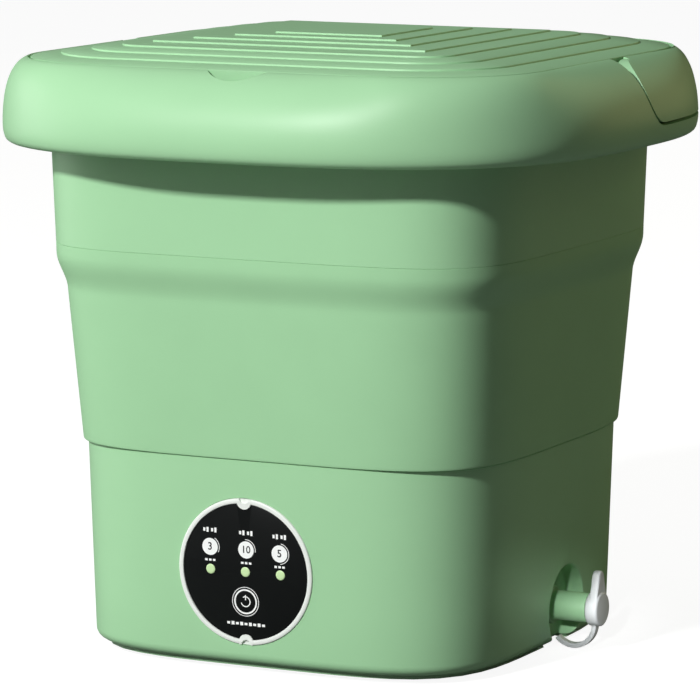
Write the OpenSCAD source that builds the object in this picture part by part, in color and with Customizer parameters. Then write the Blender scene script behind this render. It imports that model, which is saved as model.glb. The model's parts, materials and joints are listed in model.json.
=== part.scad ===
// Portable folding mini washer.
// A tapered base holds the drive, the control panel and the drain. A soft wall joins it to a
// stiff upper ring, which slides down over the base to fold the tub. The ring carries a rounded
// rim, a stepped lift-off lid and a bail handle that lies flush in the rear half of the rim.
// +Z is up, -Y is the front, and the origin is at the centre of the floor contact.

/* [Base] */
// Half width of the base at its foot
foot_half = 105.7; // [100:0.1:107]
// Half width of the base at its top
base_half = 108.3; // [107.5:0.1:109]
// Height of the base's lower edge
base_low_z = 4; // [3:0.5:6]
// Height of the base's upper edge
base_top_z = 99.7; // [95:0.1:104]
// How square the base's plan outline is, 2 for a circle
base_n = 4.2; // [3.5:0.1:5]
// Thickness of the moulded walls
wall = 2.5; // [2:0.1:3]

/* [Soft wall and ring] */
// Half width of the soft wall's lower edge
skirt_half = 109.1; // [108.8:0.1:110]
// Half width of the soft wall where its step begins
waist_half = 113.3; // [112:0.1:114]
// Height at which the soft wall's step begins
step_low_z = 170.5; // [165:0.5:174]
// Height at which the soft wall's step ends
step_high_z = 188.5; // [184:0.5:189]
// How square the soft wall is at its foot
skirt_n = 4.5; // [4.2:0.1:5]
// Half width of the ring at its lower edge
ring_low_half = 117.3; // [117:0.1:118]
// Half width of the ring under the rim
ring_top_half = 118; // [117.8:0.1:118.6]
// Height of the ring's lower edge
ring_low_z = 193; // [191:0.5:196]
// How square the opening at the top is
mouth_n = 5.5; // [5:0.1:6]

/* [Rim] */
// Half width of the rim at its widest
rim_half = 150; // [146:1:154]
// Height of the rim's lower edge
rim_low_z = 239.4; // [237:0.1:241]
// Height of the rim's widest line
rim_wide_z = 248; // [246:0.5:248]
// Height of the rim's top edge, level with the lid's edge
rim_top_z = 279.3; // [278:0.1:281]
// How square the rim's plan outline is
rim_n = 3; // [2.6:0.1:3.6]

/* [Carry handle] */
// How far behind the middle the handle turns
pivot_y = 21; // [20:0.5:24]
// Height of the handle's pivot
pivot_z = 264; // [263.5:0.5:264.5]
// Radius of the handle's rounded ends
nose_r = 15; // [14:0.5:15]
// Radius of the pivot pins
pin_r = 3; // [2.5:0.1:3.5]

/* [Lid] */
// Half width of the lid
lid_half = 127; // [124:0.5:127]
// Corner radius of the lid's outline
lid_corner = 58; // [45:1:70]
// Number of steps up to the middle
steps = 7; // [4:1:7]
// Width of one step
step_w = 14.2; // [12:0.1:15]
// Height of one step
step_h = 1.4; // [1:0.1:1.8]

/* [Control panel] */
// Sideways place of the panel's centre
panel_x = -3; // [-10:0.5:10]
// Height of the panel's centre
panel_z = 47.5; // [45:0.5:52]
// Outer radius of the panel's pale ring
panel_r = 34.3; // [32:0.1:35]
// Radius of the power button
key_r = 7.1; // [6:0.1:7.5]
// How far the power button travels
key_travel = 0.8; // [0.5:0.1:1]

/* [Drain] */
// How far behind the middle the drain lies
drain_y = 11; // [6:1:14]
// Height of the drain's axis
drain_z = 20; // [19:0.5:22]
// Radius of the round recess in the side
recess_r = 19.5; // [17:0.5:20]
// Outer radius of the spout
spout_r = 7; // [6:0.5:7.5]
// How far out the spout ends
spout_end = 118; // [114:0.5:119]

/* [Drive] */
// Distance from the drum axis to the motor axis
motor_gap = 62; // [58:1:66]
// Running radius of the large pulley
big_pulley = 36; // [30:1:38]
// Running radius of the motor pulley
small_pulley = 7.2; // [6:0.1:9]
// Radius of the drive shaft
shaft_r = 3.97; // [3.95:0.01:3.99]
// Radius of the pulsator
pulsator_r = 61; // [50:1:64]

/* [Hidden] */
$fn = 48;
sides = 64;
green = [0.62, 0.80, 0.61];
grey = [0.80, 0.81, 0.82];
steel = [0.72, 0.73, 0.75];
black = [0.06, 0.06, 0.06];
eps = 0.01;

// base
neck_half = base_half - 2.3;
neck_z = base_top_z + 5.3;
cover_z = 2;
cover_t = 3;
cover_half = foot_half - 5.3;
boss_d = 81;
boss_z = 9;
basin_z = 84;
basin_half = neck_half - wall - 0.3;
lean = atan((base_half - foot_half) / (base_top_z - base_low_z - 5));

// rim and handle
space_r = nose_r + 0.5;
handle_low_z = pivot_z - nose_r;
floor_z = pivot_z - space_r;
floor_t = 3;
flange_z = floor_z - floor_t - 3;
flange_half = 130;
ledge_z = 271.3;
shelf_half = lid_half + 0.45;
lip_half = shelf_half + 0.4;
mouth_half = 113.8;
handle_half = shelf_half + 0.9;
notch_x = 5;
notch_r = 18.4;
notch_d = 8.5;
skin = 2.6;
tuck_half = 114.4;
soft_t = 2;
rim_screw_d = 124.5;
shoulder_power = 1.35;
tuck_h = 10.5;

// drive
hub_z = 60;
pulley_z = 13;
pulley_h = 11;

// panel, in its own frame: z = 0 on the face, +z outwards
seat = -1;
overlay_r = panel_r - 2.4;
board_z = -14;
led_r = 2.3;
led_x = 18;
key_drop = -13.9;
face_half = foot_half + (panel_z - base_low_z - 5) * tan(lean);
bump_r = 3.7;
notch_bump = 1.3;

// drain
strap_r = 12;
strap_t = 1.6;

// plan outlines, as a distance from the middle at an angle
function squircle_r(a, n, t) = a / pow(pow(abs(cos(t)), n) + pow(abs(sin(t)), n), 1 / n);
function rounded_r(a, r, t) =
    let (u = abs(cos(t)), v = abs(sin(t)), c = a - r, flat_part = a * min(u, v) / max(u, v) <= c)
    flat_part ? a / max(u, v) : c * (u + v) + sqrt(r * r - c * c * (1 - 2 * u * v));

// one ring of points: squircle of exponent n, blended by m towards the lid's rounded square
function ring(a, z, n, m = 0) = [
    for (i = [0:sides - 1])
        let (t = 360 * i / sides)
        let (r = (1 - m) * squircle_r(a, n, t) + m * rounded_r(a, lid_corner, t))
        [r * cos(t), r * sin(t), z]
];
function flat(points) = [for (p = points) [p[0], p[1]]];
function base_ring(p) = ring(p[0], p[1], base_n);
function wall_n(z) = skirt_n + (mouth_n - skirt_n) * (z - base_top_z) / (floor_z - base_top_z);
function wall_ring(p) = ring(p[0], p[1], wall_n(p[1]));
function rim_ring(p) = ring(p[0], p[1], rim_n, p[2]);

// a rounded square outline, with a sharp corner once the radius has run out
function rounded_square(a, r) = r < 0.5
    ? [[a, a], [-a, a], [-a, -a], [a, -a]]
    : [for (q = [0:3]) for (t = [0:9:90])
        let (c = a - r, w = q * 90 + t)
        let (sx = cos(q * 90 + 45) > 0 ? 1 : -1, sy = sin(q * 90 + 45) > 0 ? 1 : -1)
        [sx * c + r * cos(w), sy * c + r * sin(w)]];

// the triangles between ring a and ring b, each of n points
function band(a, b, n) = [
    for (j = [0:n - 1]) let (k = (j + 1) % n)
        each [[a * n + j, b * n + j, b * n + k], [a * n + j, b * n + k, a * n + k]]
];

// a wall whose section is a closed loop of rings
module loop_wall(rings) {
    n = len(rings[0]);
    m = len(rings);
    polyhedron(
        points = [for (r = rings) each r],
        faces = [for (i = [0:m - 1]) each band(i, (i + 1) % m, n)],
        convexity = 6);
}

function middle(points) = [for (i = [0:len(points) - 1]) 1] * points / len(points);

// a solid with rings stacked from the lowest to the highest, each end closed by a fan
module stack(rings) {
    n = len(rings[0]);
    m = len(rings);
    low = m * n;
    high = low + 1;
    polyhedron(
        points = concat([for (r = rings) each r], [middle(rings[0]), middle(rings[m - 1])]),
        faces = concat(
            [for (j = [0:n - 1]) [low, j, (j + 1) % n]],
            [for (i = [0:m - 2]) each band(i, i + 1, n)],
            [for (j = [0:n - 1]) [high, (m - 1) * n + (j + 1) % n, (m - 1) * n + j]]),
        convexity = 4);
}

module prism(points, z0, z1) {
    translate([0, 0, z0]) linear_extrude(z1 - z0) polygon(points);
}

module frame_prism(outer, inner, z0, z1) {
    difference() {
        prism(outer, z0, z1);
        prism(inner, z0 - 1, z1 + 1);
    }
}

module rod_x(r, x0, x1, y, z) {
    translate([x0, y, z]) rotate([0, 90, 0]) cylinder(r = r, h = x1 - x0);
}

module tube(r_out, r_in, h) {
    difference() {
        cylinder(r = r_out, h = h);
        translate([0, 0, -1]) cylinder(r = r_in, h = h + 2);
    }
}

module corners(d) {
    for (x = [-d, d]) for (y = [-d, d]) translate([x, y, 0]) children();
}

// a screw standing on its head, pointing up from z = 0
module screw(head_r, head_h, shank_r, shank_l) {
    difference() {
        cylinder(r = head_r, h = head_h);
        for (a = [0, 90]) rotate(a)
            translate([-head_r * 0.7, -0.4, -eps]) cube([head_r * 1.4, 0.8, head_h * 0.6]);
    }
    translate([0, 0, head_h - eps]) cylinder(r = shank_r, h = shank_l);
}

// the panel's frame on the leaning front face
module on_panel() {
    translate([panel_x, -face_half, panel_z]) rotate([90 + lean, 0, 0]) children();
}

module at_leds() {
    for (i = [-1:1]) translate([i * led_x, 0, 0]) children();
}

module at_key() {
    translate([0, key_drop, 0]) children();
}

// base -----------------------------------------------------------------

base_outer = [
    [foot_half - 5, base_low_z], [foot_half - 2.2, base_low_z + 0.8],
    [foot_half - 0.6, base_low_z + 2.4], [foot_half, base_low_z + 5], [base_half, base_top_z]
];
base_inner = [
    [neck_half, base_top_z], [neck_half, neck_z], [neck_half - wall, neck_z],
    [neck_half - wall, base_top_z - 2 * wall], [base_half - wall, base_top_z - 3 * wall],
    [foot_half - wall, base_low_z + 5.5], [foot_half - 5, base_low_z + wall]
];

module base_shell() {
    color(green) difference() {
        union() {
            loop_wall([for (p = concat(base_outer, base_inner)) base_ring(p)]);
            intersection() {
                stack([for (p = base_outer) base_ring(p)]);
                rod_x(recess_r + wall, 94.5, 120, drain_y, drain_z);
            }
            corners(boss_d) translate([0, 0, boss_z]) cylinder(r = 5, h = 20);
            for (a = [45:90:315]) rotate(a)
                translate([boss_d * sqrt(2) + 3, -1.5, boss_z]) cube([7.6, 3, 20]);
        }
        rod_x(recess_r, 97, 130, drain_y, drain_z);
        rod_x(spout_r, 90, 100, drain_y, drain_z);
        corners(boss_d) translate([0, 0, boss_z - 1]) cylinder(r = 1.6, h = 16);
        on_panel() translate([0, 0, seat]) cylinder(r = panel_r + 0.2, h = 6);
        on_panel() translate([0, 0, -8]) cylinder(r = overlay_r + 0.1, h = 12);
        translate([0, 120, 24]) rotate([90, 0, 0]) cylinder(r = 5.5, h = 20);
    }
}

module bottom_cover() {
    color(green * 0.8) difference() {
        union() {
            prism(flat(ring(cover_half, 0, base_n)), cover_z, cover_z + cover_t);
            translate([0, 0, cover_z]) corners(boss_d) cylinder(r = 5, h = boss_z - cover_z - 0.1);
            for (x = [-60:30:60]) if (x != 0)
                translate([x - 0.8, -70, cover_z + cover_t - eps]) cube([1.6, 140, 2.4]);
        }
        translate([0, 0, -1]) corners(boss_d) cylinder(r = 3.6, h = 4.6);
        corners(boss_d) cylinder(r = 1.7, h = 20);
        rod_x(recess_r + wall + 0.3, 94.2, 130, drain_y, drain_z);
        for (x = [-45:15:45]) for (y = [-90, 82])
            translate([x - 4, y, 0]) cube([8, 3, 12]);
    }
}

module rubber_feet() {
    color(black) corners(66) {
        cylinder(r = 9, h = cover_z);
        cylinder(r = 10, h = 0.8);
    }
}

module bottom_screws() {
    color(steel) corners(boss_d) translate([0, 0, 3.6 - 2.2]) screw(3.2, 2.2, 1.6, 16);
}

module tub_basin() {
    color(green) difference() {
        union() {
            prism(flat(ring(basin_half, 0, base_n)), basin_z, neck_z);
            translate([74, drain_y, basin_z - 14]) cylinder(r = 6, h = 15);
            corners(22) translate([0, 0, basin_z - 3 + eps]) cylinder(r = 4, h = 3);
        }
        prism(flat(ring(basin_half - wall, 0, base_n)), basin_z + wall, neck_z + 1);
        translate([74, drain_y, basin_z - 20]) cylinder(r = 4.5, h = 30);
        translate([0, 0, basin_z - 1]) cylinder(r = 8, h = 10);
    }
}

module bearing_housing() {
    color(steel) difference() {
        union() {
            translate([0, 0, hub_z]) cylinder(r = 15, h = basin_z - hub_z - 3);
            translate([0, 0, basin_z - 6]) cylinder(r = 38, h = 3);
        }
        translate([0, 0, hub_z - 1]) cylinder(r = 8, h = 40);
        translate([0, 0, hub_z + 1]) cylinder(r = 11, h = 40);
        corners(22) translate([0, 0, basin_z - 10]) cylinder(r = 1.7, h = 10);
    }
}

module housing_screws() {
    color(steel) corners(22) translate([0, 0, basin_z - 8.2]) screw(3, 2.2, 1.5, 7);
}

module ball_bearing(z) {
    color(grey) translate([0, 0, z]) difference() {
        tube(11, 4, 7);
        for (s = [-1, 7]) translate([0, 0, s]) tube(9, 6, 1.4);
    }
}

module lower_bearing() {
    ball_bearing(hub_z + 1);
}

module upper_bearing() {
    ball_bearing(basin_z - 3 - 7);
}

module shaft_seal() {
    color(black) translate([0, 0, basin_z - 3]) {
        tube(8, 4.05, 6.4);
        translate([0, 0, 6.4]) tube(6, 4.05, 1.2);
    }
}

// turning parts of the tub

module drive_shaft() {
    color(steel) difference() {
        translate([0, 0, 9]) cylinder(r = shaft_r, h = 94);
        translate([0, 0, 92]) cylinder(r = 1.6, h = 20);
    }
}

module grooved_pulley(r, bore, h) {
    rotate_extrude() polygon([
        [bore, 0], [r + 2.5, 0], [r + 2.5, 1.5], [r, 3.5], [r, h - 3.5],
        [r + 2.5, h - 1.5], [r + 2.5, h], [bore, h]
    ]);
}

module driven_pulley() {
    color(grey) translate([0, 0, pulley_z]) difference() {
        grooved_pulley(big_pulley, shaft_r, pulley_h);
        for (a = [0:60:300]) rotate(a) translate([21, 0, -1]) cylinder(r = 7, h = pulley_h + 2);
    }
}

module pulley_nut() {
    color(steel) translate([0, 0, pulley_z - 3.6]) difference() {
        cylinder(r = 7, h = 3.6, $fn = 6);
        translate([0, 0, -1]) cylinder(r = shaft_r, h = 6);
    }
}

module vane(a) {
    rotate(a) {
        translate([13, -4, 91]) cube([pulsator_r - 22, 8, 9]);
        translate([pulsator_r - 9, 0, 91]) cylinder(r = 4, h = 9);
    }
}

module pulsator() {
    color(grey) difference() {
        union() {
            translate([0, 0, 89]) cylinder(r = pulsator_r, h = 3);
            translate([0, 0, 91]) cylinder(r1 = pulsator_r - 14, r2 = 14, h = 8);
            translate([0, 0, 91]) cylinder(r = 14, h = 15);
            for (a = [0:60:300]) vane(a);
        }
        translate([0, 0, 80]) cylinder(r = shaft_r, h = 40);
        translate([0, 0, 103]) cylinder(r = 10.5, h = 10);
        for (a = [30:60:330]) for (d = [50:5:55])
            rotate(a) translate([d, 0, 80]) cylinder(r = 1.5, h = 20);
    }
}

module pulsator_cap() {
    color(green) translate([0, 0, 106.2]) difference() {
        union() {
            cylinder(r = 13.5, h = 2.4);
            translate([0, 0, 2.4]) cylinder(r1 = 13.5, r2 = 11.5, h = 1.6);
        }
        translate([0, 0, -1]) cylinder(r = 6, h = 2);
    }
}

module pulsator_screw() {
    color(steel) translate([0, 0, 105.4]) mirror([0, 0, 1]) screw(4.5, 2.2, 1.6, 9);
}

// motor and belt

module at_motor() {
    translate([-motor_gap, 0, 0]) children();
}

module motor_can() {
    color(steel) at_motor() difference() {
        union() {
            translate([0, 0, 30]) cylinder(r = 23, h = 43);
            translate([0, 0, 28]) cylinder(r = 8, h = 4);
        }
        translate([0, 0, 32.5]) cylinder(r = 20.5, h = 37.5);
        translate([0, 0, 20]) cylinder(r = 2.03, h = 20);
        for (y = [-13, 13]) translate([0, y, 69]) cylinder(r = 1.5, h = 10);
        for (y = [-14, 14]) translate([0, y, 20]) cylinder(r = 3, h = 20);
    }
}

module motor_armature() {
    color([0.70, 0.42, 0.22]) at_motor() {
        translate([0, 0, 12]) cylinder(r = 2, h = 55);
        for (a = [0:60:300]) rotate(a) translate([0, -3, 38]) cube([16, 6, 22]);
        translate([0, 0, 36]) cylinder(r = 9, h = 26);
    }
}

module motor_pulley() {
    color(grey) at_motor() translate([0, 0, pulley_z]) grooved_pulley(small_pulley, 2, pulley_h);
}

module motor_bracket() {
    color(steel) difference() {
        union() {
            translate([-motor_gap - 27, -30, 73]) cube([54, 60, 2]);
            for (y = [-26, 26]) for (x = [-motor_gap - 22, -motor_gap + 22])
                translate([x, y, 74]) cylinder(r = 3.5, h = basin_z - 74);
        }
        at_motor() for (y = [-13, 13]) translate([0, y, 60]) cylinder(r = 1.7, h = 20);
        translate([0, 0, 60]) cylinder(r = 38.5, h = 30);
    }
}

module motor_screws() {
    color(steel) at_motor() for (y = [-13, 13])
        translate([0, y, 77]) mirror([0, 0, 1]) screw(2.8, 2, 1.5, 5.5);
}

// the outline of a belt that runs round two pulleys, the big one at the origin
function belt_outline(r1, r2) =
    let (a = acos((r1 - r2) / motor_gap))
    concat(
        [for (i = [0:24]) let (t = -180 + a + i * (360 - 2 * a) / 24) [r1 * cos(t), r1 * sin(t)]],
        [for (i = [0:12]) let (t = 180 - a + i * 2 * a / 12)
            [-motor_gap + r2 * cos(t), r2 * sin(t)]]);

module drive_belt() {
    color(black) frame_prism(
        belt_outline(big_pulley + 2.3, small_pulley + 2.3),
        belt_outline(big_pulley + 0.3, small_pulley + 0.3),
        pulley_z + 3.8, pulley_z + pulley_h - 3.8);
}

// drain

module drain_elbow() {
    color(grey) difference() {
        union() {
            translate([74, drain_y, drain_z - 8]) cylinder(r = 8, h = basin_z - drain_z + 1);
            rod_x(9, 74, 91, drain_y, drain_z);
            translate([74, drain_y, drain_z]) sphere(r = 9);
        }
        translate([74, drain_y, drain_z]) cylinder(r = 6, h = 80);
        translate([74, drain_y, drain_z]) sphere(r = 6);
        rod_x(6, 74, 100, drain_y, drain_z);
        rod_x(spout_r, 84, 100, drain_y, drain_z);
    }
}

module drain_spout() {
    color(green) difference() {
        union() {
            rod_x(spout_r, 84, spout_end, drain_y, drain_z);
            rod_x(11, 91.5, 94.4, drain_y, drain_z);
            rod_x(spout_r + 2, 97.1, 100, drain_y, drain_z);
        }
        rod_x(4.5, 80, 130, drain_y, drain_z);
    }
}

module drain_cap() {
    color(grey) {
        rod_x(4.2, 108, spout_end + 0.4, drain_y, drain_z);
        rod_x(spout_r + 1.2, spout_end + 0.3, spout_end + 5.5, drain_y, drain_z);
        rod_x(spout_r, spout_end + 5.5 - eps, spout_end + 6.8, drain_y, drain_z);
        translate([spout_end + 2, drain_y - 3.2, drain_z + 5]) cube([4, 6.4, 10.2]);
        rod_x(3.2, spout_end + 2, spout_end + 6, drain_y, drain_z + 15.2);
    }
}

// a thin silicone tongue that curls from the cap down and back to the foot of the recess
module cap_strap() {
    color(grey) translate([spout_end - 8, drain_y + 2, strap_r + 0.4]) rotate([90, 0, 0]) {
        linear_extrude(4) difference() {
            circle(r = strap_r);
            circle(r = strap_r - strap_t);
            translate([-30, 0]) square([60, 30]);
            translate([-30, -7.5]) square([22, 30]);
        }
        translate([strap_r - strap_t, -eps, 0]) cube([strap_t, 1.2, 4]);
        translate([-12.8, -8.6, 0]) cube([4.6, strap_t, 4]);
    }
}

// control panel

module at_bumps(r) {
    for (y = [-1, 1]) translate([0, y * (panel_r - notch_bump), 0]) cylinder(r = r, h = 8);
}

module panel_bezel() {
    color([0.86, 0.93, 0.85]) on_panel() translate([0, 0, seat]) difference() {
        union() {
            tube(panel_r, overlay_r + 0.1, 1.7);
            intersection() {
                cylinder(r = panel_r - 0.05, h = 1.7);
                at_bumps(bump_r);
            }
        }
        for (y = [-panel_r, panel_r]) translate([0, y, 0.5]) cylinder(r = 2.4, h = 2);
    }
}

module panel_overlay() {
    color(black) on_panel() difference() {
        translate([0, 0, -2.4]) cylinder(r = overlay_r, h = 2.7);
        at_leds() translate([0, 0, -3]) cylinder(r = led_r + 0.1, h = 5);
        at_key() translate([0, 0, -3]) cylinder(r = key_r + 0.25, h = 5);
        translate([0, 0, seat - 0.2]) at_bumps(bump_r + 0.1);
    }
}

module panel_carrier() {
    color(grey) on_panel() difference() {
        union() {
            translate([0, 0, -5.6]) cylinder(r = overlay_r - 0.4, h = 3.1);
            translate([0, 0, -5.6]) cylinder(r = panel_r + 2, h = 2);
            for (x = [-26, 26]) translate([x, -8, board_z]) cylinder(r = 3, h = 9);
        }
        at_leds() translate([0, 0, -8]) cylinder(r = led_r + 0.3, h = 8);
        at_key() translate([0, 0, -8]) cylinder(r = 2.6, h = 8);
        at_key() translate([0, 0, -4.5]) cylinder(r = key_r + 1.6, h = 8);
        for (x = [-26, 26]) translate([x, -8, board_z - 1]) cylinder(r = 1.2, h = 8);
    }
}

module power_button() {
    color(grey) on_panel() at_key() {
        translate([0, 0, -3]) cylinder(r = key_r, h = 3.4);
        translate([0, 0, -3.4]) cylinder(r = key_r + 1.2, h = 0.9);
        translate([0, 0, -9.1]) cylinder(r = 2, h = 6);
    }
}

module tact_switch() {
    color(black) on_panel() at_key() {
        translate([-3, -3, board_z]) cube([6, 6, 3.4]);
        translate([0, 0, board_z + 3.4 - eps]) cylinder(r = 1.7, h = 0.6);
    }
}

module led_lights() {
    color([0.75, 1, 0.65]) on_panel() at_leds() {
        translate([0, 0, board_z]) cylinder(r = led_r, h = -board_z + 0.4);
        translate([0, 0, board_z]) cylinder(r = led_r + 0.6, h = 1);
    }
}

module control_board() {
    color([0.1, 0.4, 0.25]) on_panel() difference() {
        translate([-31, -22, board_z - 1.6]) cube([62, 36, 1.6]);
        for (x = [-26, 26]) translate([x, -8, board_z - 3]) cylinder(r = 1.3, h = 5);
    }
}

module board_screws() {
    color(steel) on_panel() for (x = [-26, 26])
        translate([x, -8, board_z - 1.6 - 1.8]) screw(2.4, 1.8, 1.2, 7);
}

module power_inlet() {
    color(black) translate([0, base_half + 1, 24]) rotate([90, 0, 0]) {
        difference() {
            union() {
                cylinder(r = 8, h = 2.4);
                cylinder(r = 5.5, h = 13);
            }
            translate([0, 0, -1]) cylinder(r = 3.2, h = 10.5);
        }
        translate([0, 0, 1.2]) cylinder(r = 1, h = 9);
    }
}

// leads from the board to the motor and to the inlet
motor_lead = [[-20, -84, 36], [-40, -70, 36], [-88, -40, 50], [-88, -12, 60], [-86.2, -6, 62]];
inlet_lead = [[10, -84, 34], [30, -70, 32], [52, -40, 12], [52, 40, 12], [30, 80, 20], [0, 94.8, 24]];

// a round lead swept along a route, with eight sides
module lead(points, r) {
    last = len(points) - 1;
    stack([for (i = [0:last])
        let (d = points[min(i + 1, last)] - points[max(i - 1, 0)])
        let (w = d / norm(d), u = cross(w, [0, 0, 1]) / norm(cross(w, [0, 0, 1])), v = cross(w, u))
        [for (t = [315:-45:0]) points[i] + r * (cos(t) * u + sin(t) * v)]]);
}

module wire_harness() {
    color([0.7, 0.1, 0.1]) {
        lead(motor_lead, 1.4);
        lead(inlet_lead, 1.4);
    }
}

// upper body ------------------------------------------------------------

// the soft wall's outer half width over its step, at a fraction f of the step's height
function step_half(f) = waist_half + (ring_low_half - waist_half) * (1 - cos(180 * f)) / 2;
soft_face = concat(
    [[skirt_half, base_top_z + 0.2], [skirt_half + 0.2, base_top_z + 1.2]],
    [for (f = [0:0.2:1.01]) [step_half(f), step_low_z + f * (step_high_z - step_low_z)]]);

module soft_wall() {
    tuck = tuck_half - 0.1;
    lip_z = ring_low_z - 0.3;
    profile = concat(
        soft_face,
        [[ring_low_half, lip_z], [tuck, lip_z], [tuck, lip_z + tuck_h], [tuck - soft_t, lip_z + tuck_h],
         [tuck - soft_t, lip_z - soft_t]],
        [for (i = [len(soft_face) - 1:-1:2]) soft_face[i] - [soft_t, 0.3]],
        [[skirt_half - 2.2, neck_z + 1.5], [skirt_half - 2.9, neck_z],
         [skirt_half - 2.9, base_top_z + 0.2]]);
    color(green) loop_wall([for (p = profile) wall_ring(p)]);
}

module upper_ring() {
    shoulder = tuck_half - 2.2;
    profile = [
        [ring_low_half - 0.4, ring_low_z], [ring_low_half, ring_low_z + 1.2],
        [ring_top_half, flange_z], [flange_half, flange_z], [flange_half, floor_z - floor_t],
        [ring_top_half, floor_z - floor_t], [ring_top_half, ledge_z - 2.8],
        [ring_top_half - wall, ledge_z - 2.8], [ring_top_half - wall - 0.4, ring_low_z + 16],
        [shoulder, ring_low_z + 13], [shoulder, ring_low_z + tuck_h],
        [tuck_half, ring_low_z + tuck_h], [tuck_half, ring_low_z]
    ];
    color(green) difference() {
        loop_wall([for (p = profile) wall_ring(p)]);
        at_rim_screws() translate([0, 0, flange_z - 1]) cylinder(r = 1.7, h = 6);
    }
}

// the rim's outer face, from its lower edge to its top: half width, height, blend to the lid
rim_rise = rim_top_z - rim_wide_z;
rim_face = [
    [rim_half - 4.2, rim_low_z, 0], [rim_half - 1.4, rim_low_z + 1.6, 0],
    [rim_half - 0.3, rim_low_z + 4.8, 0],
    for (i = [0:8]) let (a = 90 * i / 8, c = pow(cos(a), shoulder_power))
        [lip_half + (rim_half - lip_half) * c, rim_wide_z + rim_rise * sin(a), 1 - c]
];
function inward(p, d) = [p[0] - d, p[1] - 0.8 * d * p[2], p[2]];

// the rim as a solid block, d smaller all round
module rim_solid(d) {
    stack([for (p = rim_face) rim_ring(inward(p, d))]);
}

// side outline of the handle, or of the space for it when its front edge is upright
function side_outline(r, upright) = concat(
    [[200, pivot_z - r]],
    [for (a = [270:-9:(upright ? 180 : 90)]) [pivot_y + r * cos(a), pivot_z + r * sin(a)]],
    [[upright ? pivot_y - r : pivot_y, 320], [200, 320]]);

module side_slab(r, upright = false) {
    translate([-200, 0, 0]) rotate([90, 0, 90]) linear_extrude(400)
        polygon(side_outline(r, upright));
}

// everything that the handle sweeps through on its way up
module handle_space() {
    difference() {
        side_slab(space_r, true);
        prism(flat(ring(shelf_half - 0.05, 0, rim_n, 1)), 200, 330);
    }
}

module at_rim_screws() {
    for (x = [-58, 58]) for (y = [-rim_screw_d, rim_screw_d]) translate([x, y, 0]) children();
    for (x = [-rim_screw_d, rim_screw_d]) for (y = [-58, 66]) translate([x, y, 0]) children();
}

// the faces that close the rim in front of the handle
module rim_webs() {
    intersection() {
        rim_solid(0.4);
        difference() {
            translate([-200, pivot_y - space_r - skin, floor_z - 1]) cube([400, space_r + skin, 40]);
            prism(flat(ring(shelf_half - 1.5, 0, rim_n, 1)), 200, 320);
            prism(flat(ring(lip_half, 0, rim_n, 1)), ledge_z - 1, 320);
        }
    }
}

module rim_collar() {
    profile = concat(
        rim_face, [[lip_half, ledge_z - 3, 1], [lip_half + 3, ledge_z - 3, 1]],
        [for (i = [len(rim_face) - 2:-1:0]) let (p = inward(rim_face[i], skin))
            [max(p[0], lip_half + 3), p[1], p[2]]]);
    color(green) difference() {
        union() {
            loop_wall([for (p = profile) rim_ring(p)]);
            frame_prism(flat(ring(rim_half - 2.2, 0, rim_n)),
                flat(ring(ring_top_half + 0.3, 0, mouth_n)), floor_z - floor_t, floor_z);
            frame_prism(flat(ring(shelf_half, 0, rim_n, 1)), flat(ring(shelf_half - 3, 0, rim_n, 1)),
                floor_z - 1, ledge_z);
            frame_prism(flat(ring(lip_half + 1, 0, rim_n, 1)), flat(ring(mouth_half, 0, mouth_n)),
                ledge_z - 2.7, ledge_z);
            rim_webs();
        }
        handle_space();
        translate([notch_x, notch_r - notch_d - lip_half, ledge_z]) cylinder(r = notch_r, h = 20);
        for (x = [-130, 119]) rod_x(pin_r, x, x + 11, pivot_y, pivot_z);
        at_rim_screws() translate([0, 0, floor_z - 6]) cylinder(r = 1.5, h = 5.5);
    }
}

module rim_screws() {
    color(steel) at_rim_screws()
        translate([0, 0, flange_z - 2.2]) screw(3, 2.2, 1.5, 5.4);
}

// the rounded faces that close the ends of the handle, and its pivot bosses
module handle_ends() {
    intersection() {
        rim_solid(0.4);
        difference() {
            union() {
                difference() {
                    side_slab(nose_r - 0.3);
                    side_slab(nose_r - skin);
                    translate([-201, pivot_y, 200]) cube([402, 200, 130]);
                }
                rod_x(7.5, -145, 145, pivot_y, pivot_z);
            }
            prism(flat(ring(handle_half + 0.2, 0, rim_n, 1)), 200, 320);
        }
    }
}

module carry_handle() {
    face = [for (p = rim_face) if (p[1] >= rim_wide_z && p[1] < rim_top_z) p];
    profile = concat(
        face,
        [[handle_half, rim_top_z, 1], [handle_half, handle_low_z - 1, 1],
         [handle_half + skin, handle_low_z - 1, 1], [handle_half + skin, rim_top_z - 3.2, 1]],
        [for (i = [len(face) - 2:-1:0]) inward(face[i], skin)]);
    color(green) difference() {
        union() {
            intersection() {
                loop_wall([for (p = profile) rim_ring(p)]);
                side_slab(nose_r);
            }
            handle_ends();
        }
        rod_x(pin_r + 0.05, -142, 142, pivot_y, pivot_z);
    }
}

module handle_pins() {
    color(steel) for (s = [0, 1]) mirror([s, 0, 0]) {
        rod_x(pin_r, 121, 141, pivot_y, pivot_z);
        rod_x(pin_r + 1.4, 121, shelf_half - 3, pivot_y, pivot_z);
    }
}

module lid_plate() {
    low_z = ledge_z + 0.3;
    color(green) difference() {
        union() {
            for (k = [0:steps]) prism(
                rounded_square(lid_half - k * step_w, lid_corner - k * step_w),
                low_z, rim_top_z + k * step_h);
            prism(flat(ring(mouth_half - 2, 0, mouth_n)), low_z - 7, low_z + eps);
        }
        for (k = [0:steps]) prism(
            rounded_square(lid_half - wall - k * step_w, lid_corner - wall - k * step_w),
            low_z + (k == 0 ? wall : 0), rim_top_z - wall + k * step_h);
        prism(flat(ring(mouth_half - 4.5, 0, mouth_n)), low_z - 8, low_z + 1 + wall);
    }
}

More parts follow.
